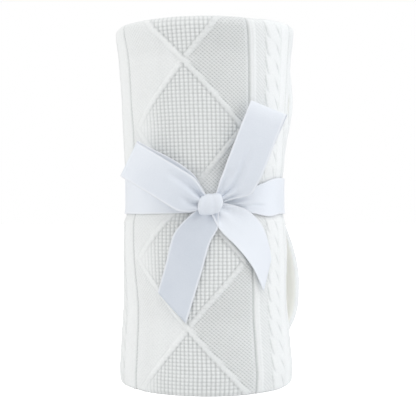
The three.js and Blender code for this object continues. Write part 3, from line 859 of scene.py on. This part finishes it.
def satinMaterial():
    material, tree, shader = newMaterial("satin", satin["shader"])
    split = addNode(tree, "SeparateXYZ")
    tree.links.new(layOutput(tree), split.inputs[0])
    thread = satin["thread"]
    threads = calc(tree, "SINE", times(tree, split.outputs["Y"], turn / thread["pitch"]))
    fibre = placeGroup(tree, fuzz, Scale=satin["fibreScale"])
    height = calc(tree, "ADD", times(tree, threads, thread["height"]), fibre.outputs["Height"])
    uneven = fuzzTone(tree, fibre, **satin["fuzz"])
    # Painted shade, with a random unevenness, darkens the face towards the shade colour
    shade = calc(tree, "ADD", readAttribute(tree, "paintedSatinShade"), uneven, clamp=True)
    colour = mixColour(tree, shade, satin["face"], satin["turned"])
    # Lighter along both edges
    colour = mixColour(tree, readAttribute(tree, "ribbonEdge"), colour, satin["lighterEdge"])
    tree.links.new(colour, shader.inputs["Base Color"])
    addBump(tree, shader, height, *satin["bump"])
    return material


satinRibbon = satinMaterial()
acrossShares = np.linspace(-1, 1, satin["across"])[None, :]


# Both faces of a strand from its middle surface; closed joins its last row to its first
def strandFaces(grid, thickness, closed):
    if closed:
        alongRow = np.roll(grid, -1, 0) - np.roll(grid, 1, 0)
    else:
        alongRow = np.gradient(grid, axis=0)
    normal = np.cross(alongRow, np.gradient(grid, axis=1))
    away = normal / np.linalg.norm(normal, axis=-1, keepdims=True) * thickness / 2
    points = joined([grid + away, grid - away]).reshape(-1, 3)
    back = grid.shape[0] * grid.shape[1]
    index = np.arange(back).reshape(grid.shape[:2])
    if closed:
        index = joined([index, index[:1]])
    a, b, c, d = index[:-1, :-1], index[1:, :-1], index[1:, 1:], index[:-1, 1:]
    quads = [(a, b, c, d), (back + a, back + d, back + c, back + b)]
    for line, way in ((index[:, 0], 1), (index[:, -1], -1)):
        quads.append((line[:-1], back + line[:-1], back + line[1:], line[1:])[::way])
    for line, way in () if closed else ((index[0], 1), (index[-1], -1)):
        quads.append((line[:-1], line[1:], back + line[1:], back + line[:-1])[::way])
    return points, joined([np.stack(quad, -1).reshape(-1, 4) for quad in quads])


def angleOf(azimuthDegrees):
    return np.radians(azimuthDegrees) - roll["looseEnd"]


# The band: gathered into pleats where it comes to the knot
def bandGrid():
    v = acrossShares
    start = math.degrees(roll["looseEnd"])
    azimuth = np.arange(start, start + 360, band["step"])[:, None]
    away = wrapped(azimuth - band["gatherAt"], 360)
    gathered = hump(away, band["gatherSpan"])
    half = band["width"] / 2 * (1 - band["gatherShare"] * gathered)
    sag, crease, pleats = band["sag"], band["crease"], band["pleats"]
    z = band["middle"] - band["drop"] * gathered + v * half
    z = z - sag["depth"] * hump(away - sag["at"], sag["half"]) * (1 - v) / 2
    waves = np.cos(v * pleats["waves"] + pleats["shift"] * np.sign(away)) * (1 - v ** 4)
    pleat = pleats["depth"] * gathered * hump(np.abs(away) - pleats["at"], pleats["half"]) * waves
    folded = hump(away - crease["at"], crease["half"]) * hump(v - crease["across"], crease["width"])
    lift = band["gap"] + band["thickness"] / 2 + band["gatherRise"] * gathered + pleat
    lift = lift - crease["depth"] * folded
    grid = woundPlace(angleOf(azimuth), z, 0, lift)
    chordStart = start + 360 - band["chord"]
    onChord = azimuth[:, 0] > chordStart
    share = ((azimuth[onChord] - chordStart) / band["chord"])[..., None]
    before = woundPlace(angleOf(chordStart), z[onChord], 0, lift[onChord])
    after = woundPlace(0.0, z[onChord], 0, lift[onChord])
    grid[onChord] = mixed(before, after, share)
    return grid


# The knot: a short stretch of ribbon wound once round the gather, creased along its way
knot = {
    "place": (0.0045, -0.0643, 0.1285), "size": (0.0082, 0.0046, 0.0068), "steps": 60,
    "rounding": 3.4, "edgeGirth": 0.62, "pinch": 0.14, "sway": 0.0006, "tilt": 0.0008,
    "crease": {"depth": 0.07, "waves": 8.2, "swing": 1.4, "shift": 0.6, "above": 0.4},
}

# The bow's loops: places as x and z, creases as across, half width, how far out and depth
loops = {
    "left": {
        "end": (-0.0506, 0.1588), "backEnd": (-0.0502, 0.16), "heading": math.radians(154.2),
        "bow": (0, -0.0025), "root": 0.7, "drift": 0.0026, "back": 0.009,
        "creases": ((-0.5, 0.32, 0.6, 0.0042), (0.3, 0.25, 0.36, 0.0022)),
        # The last two entries: shares of the way out and the painted shade there
        "turned": (0, 0.4, 0.7, 0.95, 1), "paintedSatinShade": (0.65, 0.55, 0.25, 0, 0),
    },
    "right": {
        "end": (0.0433, 0.193), "backEnd": (0.0442, 0.1926), "heading": math.radians(68.1),
        "bow": (0.01, 0), "root": 0.92, "drift": 0.0012, "back": 0.002,
        "creases": ((0.1, 0.25, 0.6, 0.0028), (0.72, 0.24, 0.34, 0.003)),
        # The last two entries: shares of the way out and the painted shade there
        "turned": (0, 0.5, 0.85, 0.97, 1), "paintedSatinShade": (0.65, 0.5, 0.35, 0.05, 0),
    },
    "rows": (  # share of the way out, half width, bend, depth from the middle plane
        (0.0, 0.3, 0.1, 0.0004), (0.04, 0.3, 0.3, 0.0006), (0.18, None, 1, 0.002),
        (0.3, 0.97, 0.92, 0.0029), (0.36, 1, 0.85, 0.0032), (0.65, 1, 0.45, 0.0033),
        (0.9, 1, 0.12, 0.0024), (0.985, 1, 0.02, 0.0013), (1.0, 1, 0, 0.0),
    ),
    "steps": 44, "leastHalf": 0.2, "gather": {"depth": 0.0012, "gain": 2.2, "waves": 6.5, "shift": 0.8},
    "fade": 0.8, "opens": 0.1,
}


def loopGrid(loop):
    v = acrossShares
    shares, halves, bends, depths = zip(*loops["rows"])
    halves = [loop["root"] if half is None else half for half in halves]
    ramp = 1 - (1 - np.linspace(0, 1, loops["steps"])) ** 2  # finer where the ribbon folds at the far end
    out = joined([ramp, ramp[::-1][1:]])
    side = joined([-np.ones(len(ramp)), np.ones(len(ramp) - 1)])
    halfShare = np.clip(smoothTable(shares, halves, out), loops["leastHalf"], 1)
    bend = smoothTable(shares, bends, out)
    end = np.where(side[:, None] < 0, loop["backEnd"], loop["end"])
    drift = np.where(side < 0, loop["drift"] * hump(out - 0.5, 0.5), 0)
    knotX, knotY, knotZ = knot["place"]
    x = mixed(knotX, end[:, 0], out) + loop["bow"][0] * bend
    z = mixed(knotZ, end[:, 1], out) + loop["bow"][1] * bend + drift
    y = knotY + loop["back"] * out ** 2 - side * np.interp(out, shares, depths)
    gather = loops["gather"]
    waves = np.cos(v * gather["waves"] + gather["shift"]) * (1 - v ** 6)
    fold = gather["depth"] * np.clip((1 - halfShare) * gather["gain"], 0, 1)[:, None] * waves
    for at, width, reach, depth in loop["creases"]:
        fades = np.clip(1 - out / reach, 0, 1)[:, None] ** loops["fade"]
        crease = fades * hump(v - at, width + loops["opens"] * fades)
        fold = fold - depth * crease * (side[:, None] > 0)
    across = np.array([-math.sin(loop["heading"]), 0, math.cos(loop["heading"])])
    half = halfShare * band["width"] / 2
    grid = np.stack([x, y, z], -1)[:, None, :] + v[..., None] * half[:, None, None] * across
    grid[..., 1] -= side[:, None] * fold
    return grid, np.interp(out, loop["turned"], loop["paintedSatinShade"])


tails = {
    "left": (  # left azimuth in degrees and height, right azimuth and height, offset from the cloth
        (-2.4, 0.129, 6.6, 0.1265, 0.0048), (-13.8, 0.119, 6.1, 0.114, 0.0036),
        (-22.2, 0.1078, 1, 0.103, 0.003), (-27.5, 0.0875, -4.7, 0.082, 0.0028),
        (-33.1, 0.069, -14.1, 0.049, 0.003),
    ),
    "right": (
        (0.6, 0.125, 7.6, 0.13, 0.0048), (6.6, 0.112, 24.2, 0.1255, 0.0038),
        (18.6, 0.099, 38.5, 0.112, 0.003), (29.5, 0.085, 43.4, 0.099, 0.0031),
        (37.7, 0.0696, 45.4, 0.091, 0.0031),
    ),
    "steps": 60, "pleats": {"depth": 0.0012, "at": 0.05, "half": 0.3, "waves": 6, "shift": 0.5},
    "curl": {"depth": 0.0008, "middle": 0.3},
}


def tailGrid(rows):
    v = acrossShares
    wanted = np.linspace(0, len(rows) - 1, tails["steps"])
    keys = np.arange(len(rows))
    leftAzimuth, leftZ, rightAzimuth, rightZ, offset = (
        smoothTable(keys, column, wanted)[:, None] for column in zip(*rows))
    azimuth = mixed(leftAzimuth, rightAzimuth, (v + 1) / 2)
    z = mixed(leftZ, rightZ, (v + 1) / 2)
    share = (wanted / (len(rows) - 1))[:, None]
    pleats, curl = tails["pleats"], tails["curl"]
    waves = np.cos(v * pleats["waves"] + pleats["shift"])
    pleat = pleats["depth"] * hump(share - pleats["at"], pleats["half"]) * waves
    curled = curl["depth"] * share * (1 - share) * 4 * (v ** 2 - curl["middle"])
    return woundPlace(angleOf(azimuth + 360), z, 0, offset + pleat + curled)


def knotGrid():
    v = acrossShares
    a = np.linspace(0, turn, knot["steps"], endpoint=False)[:, None]
    rounding = (1 - np.abs(v) ** knot["rounding"]) ** 0.5
    girth = mixed(knot["edgeGirth"], 1, rounding)
    waves = knot["crease"]
    crease = np.cos(waves["waves"] * v + waves["swing"] * np.sin(a) + waves["shift"])
    crease = waves["depth"] * crease * rounding
    pinch = 1 - knot["pinch"] * np.sin(a) ** 2
    (x, y, z), (wide, deep, tall) = knot["place"], knot["size"]
    x = x + wide * v * pinch + knot["sway"] * np.sin(a)
    y = y - deep * (girth + crease) * np.cos(a)
    z = z + tall * (girth + waves["above"] * crease) * np.sin(a) + knot["tilt"] * v
    return np.stack(np.broadcast_arrays(x, y, z), -1)


# Places on the ribbon's baking map: along a strand, its two faces and across one
ribbonMap = {"along": (0.01, 0.98), "faces": (0.02, 0.46), "across": 0.42}


def tieRibbon():
    # Each strand with its painted shade
    shade = satin["paintedSatinShade"]
    strands = [
        (bandGrid(), shade["band"], True),
        (*loopGrid(loops["left"]), False),
        (*loopGrid(loops["right"]), False),
        (tailGrid(tails["left"]), shade["leftTail"], False),
        (tailGrid(tails["right"]), shade["rightTail"], False),
        (knotGrid(), shade["knot"], True),
    ]
    shareAcross = np.linspace(0, 1, satin["across"])
    atEdge = easeIn(np.abs(acrossShares[0]), *satin["lighterEdgeFrom"])
    points, faces, edge, turned, lay, bake = [], [], [], [], [], []
    count = 0
    for index, (grid, paintedSatinShade, closed) in enumerate(strands):
        some, these = strandFaces(grid, band["thickness"], closed)
        points.append(some)
        faces.extend((these + count).tolist())
        count += len(some)
        rows, columns = grid.shape[:2]
        steps = np.linalg.norm(np.diff(grid[:, columns // 2], axis=0), axis=1)
        along = joined([[0], np.cumsum(steps)])
        lay.append(np.tile(spread(along, shareAcross * band["width"]), (2, 1)))
        edge.append(np.tile(atEdge, 2 * rows))
        turned.append(np.tile(np.repeat(np.broadcast_to(paintedSatinShade, rows), columns), 2))
        shareAlong = onMap(ribbonMap["along"], along / along[-1])
        for start in ribbonMap["faces"]:
            strip = (index + start + ribbonMap["across"] * shareAcross) / len(strands)
            bake.append(spread(shareAlong, strip))
    groups = [{"faces": faces, "lay": joined(lay), "bake": joined(bake)}]
    attributes = {"ribbonEdge": joined(edge), "paintedSatinShade": joined(turned)}
    ribbon = makePiece("satinTie", joined(points), groups, attributes, satinRibbon)
    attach(ribbon, "root")
    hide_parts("ribbon")


tieRibbon()
print("ribbon tied")

# Pale floor, white surroundings, two soft side lights and one from above
studio = {
    "around": 0.777, "aim": (0, 0, 0.13),
    "lamps": (  # name, place, size, power, colour
        ("left", (-0.9, -0.05, 0.35), 0.8, 1.35, (1, 1, 0.97)),
        ("right", (0.9, -0.05, 0.4), 0.8, 1.36, (0.84, 0.91, 1)),
        ("top", (0.3, -0.5, 1.1), 0.6, 2.72, (1, 1, 1)),
    ),
    "floor": {"half": 6, "glow": 1},
    "floorShader": {"Base Color": (0.95, 0.95, 0.95, 1), "Roughness": 0.9, "Emission Color": (1, 1, 1, 1)},
}


def makeStudio():
    world = bpy.data.worlds.new("surroundings")
    bpy.context.scene.world = world
    world.use_nodes = True
    tree = world.node_tree
    background = tree.nodes["Background"]
    background.inputs["Color"].default_value = (1, 1, 1, 1)
    path = addNode(tree, "LightPath")
    seen = calc(tree, "MAXIMUM", path.outputs["Is Camera Ray"], studio["around"])
    tree.links.new(seen, background.inputs["Strength"])
    for name, place, size, power, colour in studio["lamps"]:
        data = bpy.data.lights.new(name, "AREA")
        data.size, data.energy, data.color = size, power, colour
        aim = Vector(studio["aim"]) - Vector(place)
        light = addObject(name, data, place)
        light.rotation_euler = aim.to_track_quat("-Z", "Y").to_euler()
    bpy.context.scene.view_settings.view_transform = "Standard"


def layFloor():
    mesh = bpy.data.meshes.new("floor")
    half = studio["floor"]["half"]
    corners = [(-half, -half, 0), (half, -half, 0), (half, half, 0), (-half, half, 0)]
    mesh.from_pydata(corners, [], [(0, 1, 2, 3)])
    material, tree, shader = newMaterial("paleFloor", studio["floorShader"])
    path = addNode(tree, "LightPath")
    glow = times(tree, path.outputs["Is Camera Ray"], studio["floor"]["glow"])
    tree.links.new(glow, shader.inputs["Emission Strength"])
    mesh.materials.append(material)
    addObject("floor", mesh)


makeStudio()
layFloor()
print("studio lit")
